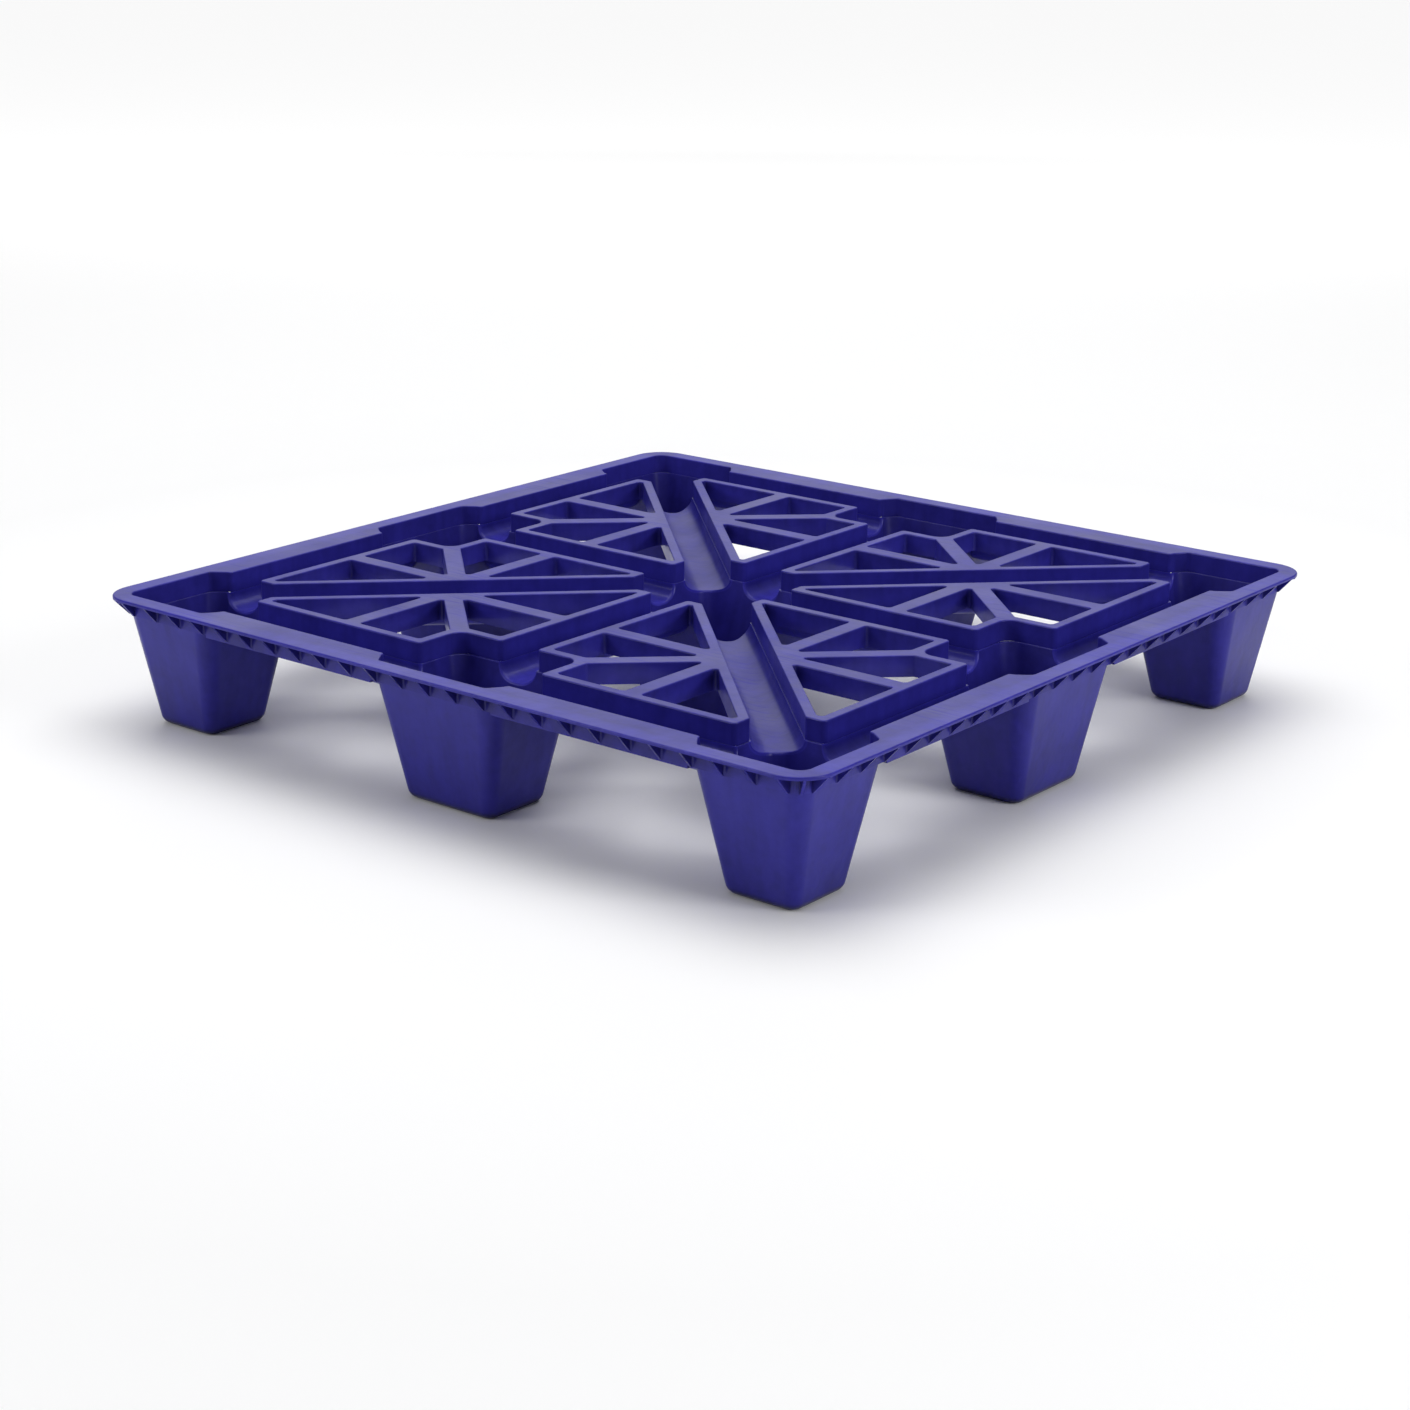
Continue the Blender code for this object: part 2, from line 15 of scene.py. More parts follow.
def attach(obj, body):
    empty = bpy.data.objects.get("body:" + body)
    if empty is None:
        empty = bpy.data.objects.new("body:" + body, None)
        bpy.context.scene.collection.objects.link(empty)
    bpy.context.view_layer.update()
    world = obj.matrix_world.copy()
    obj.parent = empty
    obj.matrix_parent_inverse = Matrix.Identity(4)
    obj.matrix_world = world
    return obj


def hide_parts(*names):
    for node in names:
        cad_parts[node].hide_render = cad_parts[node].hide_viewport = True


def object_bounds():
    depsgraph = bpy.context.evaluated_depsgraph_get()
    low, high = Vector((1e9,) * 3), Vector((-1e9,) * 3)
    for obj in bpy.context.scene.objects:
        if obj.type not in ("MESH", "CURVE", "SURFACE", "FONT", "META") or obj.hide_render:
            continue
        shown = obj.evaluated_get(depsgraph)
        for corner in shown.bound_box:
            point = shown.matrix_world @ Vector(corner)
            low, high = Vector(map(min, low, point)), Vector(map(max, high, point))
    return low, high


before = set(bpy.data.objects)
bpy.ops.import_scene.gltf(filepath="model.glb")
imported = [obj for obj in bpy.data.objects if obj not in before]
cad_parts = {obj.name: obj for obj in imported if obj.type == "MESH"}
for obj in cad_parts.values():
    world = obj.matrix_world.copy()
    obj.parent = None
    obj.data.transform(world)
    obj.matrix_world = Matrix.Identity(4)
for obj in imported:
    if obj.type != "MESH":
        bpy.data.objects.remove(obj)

CAD_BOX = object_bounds()

# ---- the part's driving dimensions, in metres ----
RIM_EDGE = CAD_BOX[1].x
HEIGHT = CAD_BOX[1].z
WALL = 0.003
PAST = 0.012  # how far a cutter runs past the material
STEP_Z = 0.144  # the line where deck panels and rim walls end and gutters and feet begin

RIM_CORNER_RADIUS = 0.046
FLANGE_UNDER_Z = HEIGHT - 0.0042
FLANGE_LIP = 0.0004
SKIRT_OUTER = 0.527
SKIRT_INNER = SKIRT_OUTER - WALL
SKIRT_LOW_Z = 0.141
SKIRT_CORNER_RADIUS = 0.018
SIDE_END = 0.500  # where a rim side meets a rim corner

GUSSET_PITCH = 0.0424
GUSSET_TIP_Z = 0.1425
GUSSET_TOP = (0.547, 0.165)  # distance from the centre, height
GUSSETS_PER_HALF_SIDE = 11
CORNER_GUSSET_AT = GUSSET_PITCH * (GUSSETS_PER_HALF_SIDE + 1)

CUP_HALF = 0.0945
CUP_NEAR = 0.3755
EDGE_GUTTER_NEAR = 0.4445
EDGE_GUTTER_FAR = 0.500
EDGE_GUTTER_MIDDLE = (EDGE_GUTTER_NEAR + EDGE_GUTTER_FAR) / 2
CROSS_GUTTER_HALF = 0.028
DIAGONAL_OFFSET = 0.043
GUTTER_LEDGE = 0.0009  # the gutter is this much narrower than the walls above it
RIM_LEDGE = 0.0012  # a foot stands this much further in than the rim above it
GUTTER_DEPTH = 0.0185
GUTTER_FLAT = 0.003

RIB_EDGE = 0.014
RIB_LONG_SIDE = 0.0185
RIB_INNER = 0.0248
RIB_SPOKE = 0.024
PANEL_OUTER_RADIUS = 0.006
PANEL_NOTCH_RADIUS = 0.018
WINDOW_RADIUS = 0.004
WINDOW_TIP_RADIUS = 0.0022
RIBS_SIDE_PANEL = (0.2503, 0.2145)
RIBS_END_PANEL = (0.2575, 0.2200)

FOOT_MIDDLE_SOLE = 0.0673
FOOT_MIDDLE_TOP = 0.0960
FOOT_NEAR_SOLE = 0.4054
FOOT_NEAR_TOP = 0.3748
FOOT_FAR_SOLE = 0.5014
FOOT_RADIUS_SOLE = 0.0134
FOOT_RADIUS_TOP = 0.0240
FOOT_SOLE_INSET = 0.009
FOOT_SOLE_ROUND = 0.010

# ---- finer shape than the CAD holds ----
DECK_FILLET = 0.0018  # on the deck's top edges
FILLET_STEPS = 5
SUPPORT = 0.0005  # a narrow flat band beside each fillet, which keeps the flats flat
STEP_FILLET = 0.0009  # on the ledge where the panels stand on the feet
LIP_RADIUS = 0.0042  # of the flare where a gutter runs out into a foot
LIP_STEPS = 6
GUTTER_ARC_STEPS = 14
ARC_STEP = math.radians(9)  # of every arc in plan
FOOT_CORNER_STEPS = 10
FOOT_ROUND_STEPS = 7
GUSSET_ROOT_RADIUS = 0.0024
SHOULDER = ((0.0115, SKIRT_INNER), (-0.0005, 0.508), (-0.0035, EDGE_GUTTER_FAR))
SHOULDER_RADII = (0.008, 0.010, 0.0045)
SMOOTH_BELOW = math.radians(32)
WELD = 0.00001  # vertices nearer than this become one

STRAIGHT_SWEEPS = (math.radians(78), math.radians(90))  # the flare's turn: floor, top edges
SLANTED_SWEEPS = (math.radians(74), math.radians(45))
WALL_SEARCH_STEPS = 30
HARDLY_TURNED = 1e-6  # keeps the two middle points of a trough's floor apart
FLAT_WEIGHT = 100  # how much larger faces count in the shading of a shared edge

# ---- plastic ----
PLASTIC_COLOUR = (0.0200, 0.0175, 0.200)
LOOK = "_look"  # a material is called after its slot in the record, with this added
PLASTICS = {  # painted light and shade per part, roughness, painted light that makes upward faces paler, gloss of the skin
    "deck_plastic": (1.0, 0.38, 0.22, 0.24),
    # the gutters' 1.18 is painted light and the feet's 0.90 painted shade on the same plastic
    "gutter_plastic": (1.18, 0.38, 0.08, 0.17),
    "foot_plastic": (0.90, 0.35, 0.0, 0.24),
    "rim_plastic": (1.0, 0.40, 0.18, 0.28),
}
PLASTIC_INPUTS = {
    "IOR": 1.49,
    "Specular IOR Level": 0.12,
    "Specular Tint": (0.72, 0.70, 1.0, 1),
    "Coat Roughness": 0.17,
}
# Each noise: repeats in a metre, detail, distortion.
CLOUDS = (9.0, 5.0, 1.4)
MOTTLE = (85.0, 4.0, 0.6)
GRAIN = (1400.0, 2.0, 0.0)
POLISH = (9.0, 1.0, 0.0)
WAVES = (26.0, 3.0, 0.5)
SCUFFED_PATCHES = (6.0, 2.0, 0.0)
SCUFFS = (1.0, 5.0, 0.3)  # of a space that SCUFF_STRETCH stretches
FLOW_MARKS = (1.0, 2.0, 0.0)  # of a space that FLOW_STRETCH stretches
SCUFF_STRETCH = (7, 240, 60)
SCUFF_TURNS = (math.radians(24), math.radians(118))
FLOW_STRETCH = (60, 60, 6)
# Where a mask starts and is full.
MASK = (0.0, 1.0)
SCUFF_RANGE = (0.56, 0.70)
PATCH_RANGE = (0.42, 0.60)
EDGE_RANGE = (0.505, 0.56)  # of pointiness
UPWARD_RANGE = (0.70, 0.98)  # of the normal's height; upward faces get painted light, and scuffs lie on them
# What most values of a noise lie between, and the shades they become.
BROAD_NOISE = (0.32, 0.68)
FINE_NOISE = (0.3, 0.7)
CLOUD_SHADES = (0.84, 1.16)
MOTTLE_SHADES = (0.92, 1.08)
FLOW_SHADES = (0.88, 1.12)
WORN_SHADE = 0.30  # added on scuffs and worn edges
# Painted shade: the base colour is darkened in recesses, bays and corners.
PAINTED_SHADE_REACH = 0.02
PAINTED_SHADE_SAMPLES = 4
PAINTED_SHADE_RANGE = (0.25, 0.80)  # of ambient occlusion, which sets the painted shade
PAINTED_SHADE_LEVELS = (0.40, 1.0)
ROUGHNESS_SPREAD = 0.07
SCUFF_ROUGHNESS = 0.16
WAVE_RELIEF = 1.6
GRAIN_RELIEF = 0.02
SCUFF_RELIEF = 0.04
BUMP_STRENGTH = 0.5
BUMP_DEPTH = 0.0006

# ---- floor and light ----
FLOOR_HALF = 60
FLOOR_INPUTS = {
    "Base Color": (0.93, 0.93, 0.935, 1),
    "Roughness": 0.7,
    "Specular IOR Level": 0.2,
    "Emission Color": (1.0, 1.0, 1.0, 1),
}
GLOW_DISTANCES = (1.5, 6.5)  # the floor's glow starts and is full here
GLOW_STRENGTHS = (0.0, 0.72)
WORLD_COLOUR = (1.0, 1.0, 1.0, 1)
WORLD_STRENGTH = 0.24
SOFTBOXES = (  # name, place, size, watts
    ("overhead_softbox", (-0.3, 0.4, 3.6), (4.0, 4.0), 128),
    ("front_left_softbox", (-2.3, -3.8, 2.0), (2.0, 1.4), 50),
    ("right_softbox", (4.4, 0.4, 2.0), (1.8, 1.4), 72),
    ("back_softbox", (-3.2, 4.2, 2.2), (5.0, 2.2), 30),
)

# ---- camera ----
CAMERA_PLACE = (2.09299, -2.67082, 1.09278)
CAMERA_AZIMUTH = math.radians(38.9054)
CAMERA_ELEVATION = math.radians(17.5824)
CAMERA_ROLL = math.radians(0.4409)
CAMERA_LENS = 70.38  # millimetres
CAMERA_SENSOR = 36  # millimetres across
CAMERA_SHIFT = (0.01917, -0.00715)

QUARTER = math.pi / 2
SIDES = ("right", "back", "left", "front")  # counted in quarter turns from +X
NAME_ORDER = ("front", "back", "left", "right")


# ---- outlines ----
def turn_sign(corners, k):
    """+1 where a counterclockwise outline bulges, -1 where it is notched."""
    here = Vector(corners[k])
    into = here - Vector(corners[k - 1])
    out = Vector(corners[(k + 1) % len(corners)]) - here
    return 1 if into.cross(out) > 0 else -1


def shifted(corners, distance):
    """The corners of the same polygon with each edge moved to its left by distance."""
    moved = []
    count = len(corners)
    for k in range(count):
        here = Vector(corners[k])
        along_in = (here - Vector(corners[k - 1])).normalized()
        along_out = (Vector(corners[(k + 1) % count]) - here).normalized()
        left_in = Vector((-along_in.y, along_in.x))
        left_out = Vector((-along_out.y, along_out.x))
        shift = (left_in + left_out) / (1 + left_in.dot(left_out))
        moved.append(here + shift * distance)
    return moved


def rounded(corners, radii, steps=None):
    """The outline through these corners, each turned into an arc of its own radius."""
    points = []
    count = len(corners)
    for k, radius in enumerate(radii):
        here = Vector(corners[k])
        back = (Vector(corners[k - 1]) - here).normalized()
        on = (Vector(corners[(k + 1) % count]) - here).normalized()
        if radius <= 0:
            points.append(here)
            continue
        half = back.angle(on) / 2
        centre = here + (back + on).normalized() * radius / math.sin(half)
        first = here + back * radius / math.tan(half) - centre
        sweep = first.angle_signed(here + on * radius / math.tan(half) - centre)
        parts = steps or max(2, round(abs(sweep) / ARC_STEP))
        for s in range(parts + 1):
            spoke = first.copy()
            spoke.rotate(Matrix.Rotation(-sweep * s / parts, 2))
            points.append(centre + spoke)
    return points


def inset_outline(corners, radii, inset):
    """The rounded outline moved inwards; a notch's radius grows as a bulge's shrinks."""
    grown = [r - inset * turn_sign(corners, k) if r else 0 for k, r in enumerate(radii)]
    return rounded(shifted(corners, inset), grown)


def rectangle(x0, x1, y0, y1):
    return [(x0, y0), (x1, y0), (x1, y1), (x0, y1)]


# ---- meshes ----
def ring(body, outline, z):
    return [body.verts.new((p[0], p[1], z)) for p in outline]


def bridge(body, below, above):
    for k in range(len(below)):
        n = (k + 1) % len(below)
        body.faces.new((below[k], below[n], above[n], above[k]))


def bridge_all(body, rings):
    for below, above in zip(rings, rings[1:]):
        bridge(body, below, above)


def fill(body, loops):
    """Fills the flat shape between these closed loops."""
    edges = []
    for loop in loops:
        for k in range(len(loop)):
            pair = (loop[k - 1], loop[k])
            edges.append(body.edges.get(pair) or body.edges.new(pair))
    bmesh.ops.triangle_fill(body, use_beauty=True, edges=edges)


def mesh_of(body, name):
    bmesh.ops.recalc_face_normals(body, faces=body.faces)
    mesh = bpy.data.meshes.new(name)
    body.to_mesh(mesh)
    body.free()
    return mesh


def fillet_rings(body, contour, way, low, high, fillet):
    """Rings up a wall, round its top edge and a little way across the top."""
    corners, radii = contour
    rings = [ring(body, inset_outline(corners, radii, 0), low)]
    for k in range(FILLET_STEPS + 1):
        turn = QUARTER * k / FILLET_STEPS
        inset = way * fillet * (1 - math.cos(turn))
        z = high - fillet * (1 - math.sin(turn))
        rings.append(ring(body, inset_outline(corners, radii, inset), z))
    inset = way * (fillet + SUPPORT)
    rings.append(ring(body, inset_outline(corners, radii, inset), high))
    bridge_all(body, rings)
    return rings


def block(name, contours, low, high, fillet):
    """A solid slab with rounded top edges; the first contour is outside, the rest are holes."""
    body = bmesh.new()
    tops = []
    bottoms = []
    for number, contour in enumerate(contours):
        rings = fillet_rings(body, contour, -1 if number else 1, low, high, fillet)
        bottoms.append(rings[0])
        tops.append(rings[-1])
    fill(body, tops)
    fill(body, bottoms)
    return mesh_of(body, name)


def tray(name, contours, low, high, fillet):
    """The same slab hollowed from below to an even wall."""
    body = bmesh.new()
    tops = []
    ceilings = []
    for number, (corners, radii) in enumerate(contours):
        way = -1 if number else 1
        rings = fillet_rings(body, (corners, radii), way, low, high, fillet)
        tops.append(rings[-1])
        inner = inset_outline(corners, radii, way * WALL)
        inside = [ring(body, inner, low), ring(body, inner, high - WALL)]
        ceilings.append(inside[-1])
        bridge_all(body, [rings[0]] + inside)
    fill(body, tops)
    fill(body, ceilings)
    return mesh_of(body, name)


def prism(name, outline, low, high):
    body = bmesh.new()
    rings = [ring(body, outline, low), ring(body, outline, high)]
    bridge_all(body, rings)
    fill(body, [rings[0]])
    fill(body, [rings[-1]])
    return mesh_of(body, name)


def loft(name, rings):
    """A closed mesh through rings of points that match one another."""
    body = bmesh.new()
    loops = [[body.verts.new(point) for point in points] for points in rings]
    bridge_all(body, loops)
    body.faces.new(loops[0])
    body.faces.new(loops[-1])
    return mesh_of(body, name)


def lying(mesh):
    """Turns a prism whose outline is (across, up) so that it runs along X."""
    mesh.transform(Matrix(((0, 0, 1, 0), (1, 0, 0, 0), (0, 1, 0, 0), (0, 0, 0, 1))))
    return mesh


def carved(mesh, cutters):
    """The mesh with every cutter taken out of it."""
    made = bpy.data.objects.new(mesh.name, mesh)
    bpy.context.scene.collection.objects.link(made)
    helpers = []
    for cutter in cutters:
        helper = bpy.data.objects.new(cutter.name, cutter)
        bpy.context.scene.collection.objects.link(helper)
        helpers.append(helper)
        modifier = made.modifiers.new("carve", "BOOLEAN")
        modifier.operation = "DIFFERENCE"
        modifier.solver = "EXACT"
        modifier.object = helper
    graph = bpy.context.evaluated_depsgraph_get()
    result = bpy.data.meshes.new_from_object(made.evaluated_get(graph))
    result.name = mesh.name
    for obj in [made] + helpers:
        bpy.data.objects.remove(obj)
    return result


def mended(mesh):
    """The mesh with coinciding vertices joined, no slivers and every pinhole closed."""
    body = bmesh.new()
    body.from_mesh(mesh)
    bmesh.ops.triangulate(body, faces=body.faces)
    bmesh.ops.remove_doubles(body, verts=body.verts, dist=WELD)
    bmesh.ops.dissolve_degenerate(body, dist=WELD, edges=body.edges)
    pinholes = [edge for edge in body.edges if edge.is_boundary]
    bmesh.ops.holes_fill(body, edges=pinholes, sides=0)
    return mesh_of(body, mesh.name)


def sliced(mesh, point, normal):
    """The mesh without what lies beyond the plane, closed again there."""
    body = bmesh.new()
    body.from_mesh(mesh)
    everything = list(body.verts) + list(body.edges) + list(body.faces)
    cut = bmesh.ops.bisect_plane(
        body, geom=everything, plane_co=point, plane_no=normal, clear_outer=True
    )
    rim = [e for e in cut["geom_cut"] if isinstance(e, bmesh.types.BMEdge)]
    bmesh.ops.triangle_fill(body, use_beauty=True, edges=rim)
    return mesh_of(body, mesh.name)


# ---- placing ----
def spin(quarter_turns):
    return Matrix.Rotation(quarter_turns * QUARTER, 4, "Z")


def pair_name(first, second):
    return "_".join(sorted((first, second), key=NAME_ORDER.index))


def place(node, mesh, matrix, material):
    """Puts a copy of the mesh where the CAD node is, and lets it stand for that node."""
    own = mesh.copy()
    own.name = node + "_skin"
    own.transform(matrix)
    if matrix.determinant() < 0:
        own.flip_normals()
    own.materials.clear()
    own.materials.append(material)
    own.shade_smooth()
    own.set_sharp_from_angle(angle=SMOOTH_BELOW)
    piece = bpy.data.objects.new(node + "_skin", own)
    bpy.context.scene.collection.objects.link(piece)
    weighted = piece.modifiers.new("flat faces stay flat", "WEIGHTED_NORMAL")
    weighted.keep_sharp = True
    weighted.weight = FLAT_WEIGHT
    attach(piece, "root")
    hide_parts(node)
    return piece


# ---- deck panels ----
def panel_contour():
    """The panel beside the +X axis, on its +Y side."""
    tip = CUP_HALF - DIAGONAL_OFFSET
    end = EDGE_GUTTER_NEAR
    corners = [
        (CUP_HALF, CROSS_GUTTER_HALF),
        (CUP_NEAR, CROSS_GUTTER_HALF),
        (CUP_NEAR, CUP_HALF),
        (end, CUP_HALF),
        (end, CUP_NEAR),
        (CUP_NEAR + DIAGONAL_OFFSET, CUP_NEAR),
        (CUP_HALF, tip),
    ]
    radii = [PANEL_OUTER_RADIUS] * len(corners)
    radii[2] = PANEL_NOTCH_RADIUS
    return corners, radii


def beside(line, distance):
    """A point of the line moved sideways, away from the pallet's centre, and its direction."""
    along = (line[1] - line[0]).normalized()
    return line[0] + Vector((along.y, -along.x)) * distance, along


def height_beside(line, distance, x):
    start, along = beside(line, distance)
    return start.y + along.y * (x - start.x) / along.x


def width_beside(line, distance, y):
    start, along = beside(line, distance)
    return start.x + along.x * (y - start.y) / along.y


def window_contours(long_rib, cross_rib):
    """The four windows between the panel's ribs."""
    near_x = CUP_HALF + RIB_EDGE
    near_y = CROSS_GUTTER_HALF + RIB_EDGE
    notch = CUP_NEAR - RIB_EDGE
    shelf = CUP_HALF + RIB_EDGE
    far_x = EDGE_GUTTER_NEAR - RIB_EDGE
    far_y = CUP_NEAR - RIB_EDGE
    slant = DIAGONAL_OFFSET + RIB_LONG_SIDE
    left = long_rib - RIB_INNER / 2
    right = long_rib + RIB_INNER / 2
    under = cross_rib - RIB_INNER / 2
    over = cross_rib + RIB_INNER / 2
    spoke = (Vector((CUP_NEAR, CUP_HALF)), Vector((long_rib, cross_rib)))
    near_spoke = -RIB_SPOKE / 2
    far_spoke = RIB_SPOKE / 2
    hub_window = [
        (near_x, near_y),
        (left, near_y),
        (left, left - slant),
        (near_x, near_x - slant),
    ]
    notch_window = [
        (right, near_y),
        (notch, near_y),
        (notch, height_beside(spoke, near_spoke, notch)),
        (right, height_beside(spoke, near_spoke, right)),
    ]
    shelf_window = [
        (width_beside(spoke, far_spoke, shelf), shelf),
        (far_x, shelf),
        (far_x, under),
        (width_beside(spoke, far_spoke, under), under),
    ]
    corner_window = [
        (over + slant, over),
        (far_x, over),
        (far_x, far_y),
        (far_y + slant, far_y),
    ]
    small = WINDOW_TIP_RADIUS
    usual = WINDOW_RADIUS
    return [
        (hub_window, [small, usual, usual, small]),
        (notch_window, [usual] * 4),
        (shelf_window, [usual] * 4),
        (corner_window, [usual, usual, small, small]),
    ]


def deck_panels(material):
    for kind, ribs in ((0, RIBS_SIDE_PANEL), (1, RIBS_END_PANEL)):
        contours = [panel_contour()] + window_contours(*ribs)
        mesh = tray("panel", contours, STEP_Z, HEIGHT, DECK_FILLET)
        for turns in (kind, kind + 2):
            for sign in (1, -1):
                node = f"{SIDES[turns]}_deck_panel_{SIDES[(turns + sign) % 4]}"
                mirror = Matrix.Diagonal((1, sign, 1, 1))
                place(node, mesh, spin(turns) @ mirror, material)


# ---- feet ----
def foot_span(side, share):
    """(low, high) of a foot along one axis; share is 0 at the soles, 1 at the step line."""
    if side == 0:
        half = FOOT_MIDDLE_SOLE + (FOOT_MIDDLE_TOP - FOOT_MIDDLE_SOLE) * share
        return -half, half
    near = FOOT_NEAR_SOLE + (FOOT_NEAR_TOP - FOOT_NEAR_SOLE) * share
    far = FOOT_FAR_SOLE + (SKIRT_OUTER - FOOT_FAR_SOLE) * share
    return (near, far) if side > 0 else (-far, -near)


def foot_section(spot, z, inset):
    """A foot's rounded rectangle at one height: its four limits and its radius."""
    share = z / STEP_Z
    x0, x1 = foot_span(spot[0], share)
    y0, y1 = foot_span(spot[1], share)
    radius = FOOT_RADIUS_SOLE + (FOOT_RADIUS_TOP - FOOT_RADIUS_SOLE) * share
    return x0 + inset, x1 - inset, y0 + inset, y1 - inset, radius - inset / 2


def cavity_section(spot, z, inset):
    """The same for the inside, which has a ledge under the rim as well."""
    x0, x1, y0, y1, radius = foot_section(spot, z, inset)
    x0 += RIM_LEDGE * (spot[0] < 0)
    x1 -= RIM_LEDGE * (spot[0] > 0)
    y0 += RIM_LEDGE * (spot[1] < 0)
    y1 -= RIM_LEDGE * (spot[1] > 0)
    return x0, x1, y0, y1, radius


def foot_ring(section, spot, z, inset):
    x0, x1, y0, y1, radius = section(spot, z, inset)
    flat = rounded(rectangle(x0, x1, y0, y1), [radius] * 4, FOOT_CORNER_STEPS)
    return [(p.x, p.y, z) for p in flat]


def foot_rings(section, spot, bottom, wall):
    """Rings of the tapered foot's rounded lower end."""
    rings = []
    for k in range(FOOT_ROUND_STEPS + 1):
        turn = QUARTER * k / FOOT_ROUND_STEPS
        rise = FOOT_SOLE_ROUND * (1 - math.cos(turn))
        inset = FOOT_SOLE_INSET * (1 - math.sin(turn))
        rings.append(foot_ring(section, spot, bottom + rise, wall + inset))
    return rings


def foot_solid(spot):
    rings = foot_rings(foot_section, spot, 0.0, 0.0)
    rings.append(foot_ring(foot_section, spot, STEP_Z, 0.0))
    return loft("foot", rings)


def foot_cavity(spot):
    """The inside of a foot, widening a little where its edge is rounded at the step line."""
    rings = foot_rings(cavity_section, spot, WALL, WALL)
    for k in range(FILLET_STEPS + 1):
        turn = QUARTER * k / FILLET_STEPS
        inset = WALL - STEP_FILLET * (1 - math.cos(turn))
        z = STEP_Z - STEP_FILLET * (1 - math.sin(turn))
        rings.append(foot_ring(cavity_section, spot, z, inset))
    rings.append(foot_ring(cavity_section, spot, STEP_Z + PAST, WALL - STEP_FILLET))
    return loft("cavity", rings)


def wall_distance(spot, start, along, z):
    """How far from a start inside a foot its inner wall is, in one direction at one height."""
    x0, x1, y0, y1, radius = cavity_section(spot, z, WALL)
    near = 0.0
    far = 2 * FOOT_MIDDLE_TOP
    for _ in range(WALL_SEARCH_STEPS):
        middle = (near + far) / 2
        point = start + along * middle
        dx = abs(point.x - (x0 + x1) / 2) - (x1 - x0) / 2 + radius
        dy = abs(point.y - (y0 + y1) / 2) - (y1 - y0) / 2 + radius
        outside = math.hypot(max(dx, 0), max(dy, 0)) + min(max(dx, dy), 0) > radius
        if outside:
            far = middle
        else:
            near = middle
    return near


# ---- gutters ----
def u_point(half_width, turn, outset):
    """(across, height) on the trough's elliptical section; turn is 0 at the floor."""
    across = half_width - GUTTER_FLAT + outset
    down = GUTTER_DEPTH + outset
    side = math.copysign(GUTTER_FLAT, turn)
    return side + across * math.sin(turn), STEP_Z - down * math.cos(turn)


def u_turns():
    half = [QUARTER * k / GUTTER_ARC_STEPS for k in range(GUTTER_ARC_STEPS + 1)]
    half[0] = HARDLY_TURNED
    return [-t for t in reversed(half)] + half


class Run:
    """A gutter's straight course between the feet at two spots."""

    def __init__(self, spots, start, end, half_width, sweeps):
        self.spots = spots
        self.ends = (Vector(start), Vector(end))
        self.along = (self.ends[1] - self.ends[0]).normalized()
        self.side = Vector((-self.along.y, self.along.x))
        self.half_width = half_width - GUTTER_LEDGE
        self.sweeps = sweeps

    def point(self, end, distance, across, z):
        """A point this far from one end's start towards the other end."""
        way = self.along if end == 0 else -self.along
        flat = self.ends[end] + way * distance + self.side * across
        return (flat.x, flat.y, z)

    def wall(self, end, across, z):
        way = self.along if end == 0 else -self.along
        start = self.ends[end] + self.side * across
        return wall_distance(self.spots[end], start, way, z)

    def flare_ring(self, end, share, top, reach=0.0):
        """The trough's section part of the way round the flare; share 1 is on the wall."""
        points = []
        for turn in u_turns():
            climb = abs(math.sin(turn))
            sweep = self.sweeps[0] + (self.sweeps[1] - self.sweeps[0]) * climb
            end_outset = LIP_RADIUS * (1 - math.cos(sweep))
            on_wall = u_point(self.half_width, turn, end_outset)
            distance = self.wall(end, on_wall[0], min(on_wall[1], STEP_Z - STEP_FILLET))
            distance += LIP_RADIUS * (math.sin(sweep) - math.sin(sweep * share)) - reach
            outset = LIP_RADIUS * (1 - math.cos(sweep * share))
            across, z = u_point(self.half_width, turn, outset)
            points.append(self.point(end, distance, across, z))
        first = points[0]
        last = points[-1]
        return points + [(last[0], last[1], top), (first[0], first[1], top)]

    def hollow(self):
        """The space inside the trough, flaring out where it meets either foot."""
        top = STEP_Z + PAST
        shares = [k / LIP_STEPS for k in range(LIP_STEPS + 1)]
        rings = [self.flare_ring(0, 1, top, PAST)]
        rings += [self.flare_ring(0, share, top) for share in reversed(shares)]
        rings += [self.flare_ring(1, share, top) for share in shares]
        rings.append(self.flare_ring(1, 1, top, PAST))
        return loft("hollow", rings)

    def outer(self, top):
        """The trough's outer form, from inside one foot to inside the other."""
        section = [u_point(self.half_width, turn, WALL) for turn in u_turns()]
        if top > STEP_Z:
            section += [(section[-1][0], top), (section[0][0], top)]
        rings = []
        for end in (0, 1):
            reach = self.reach(end)
            rings.append([self.point(end, reach, across, z) for across, z in section])
        return loft("outer", rings)

    def reach(self, end):
        """A distance from the end's start that is well inside the foot's cavity."""
        return self.wall(end, 0.0, STEP_Z - GUTTER_DEPTH) - 2 * PAST


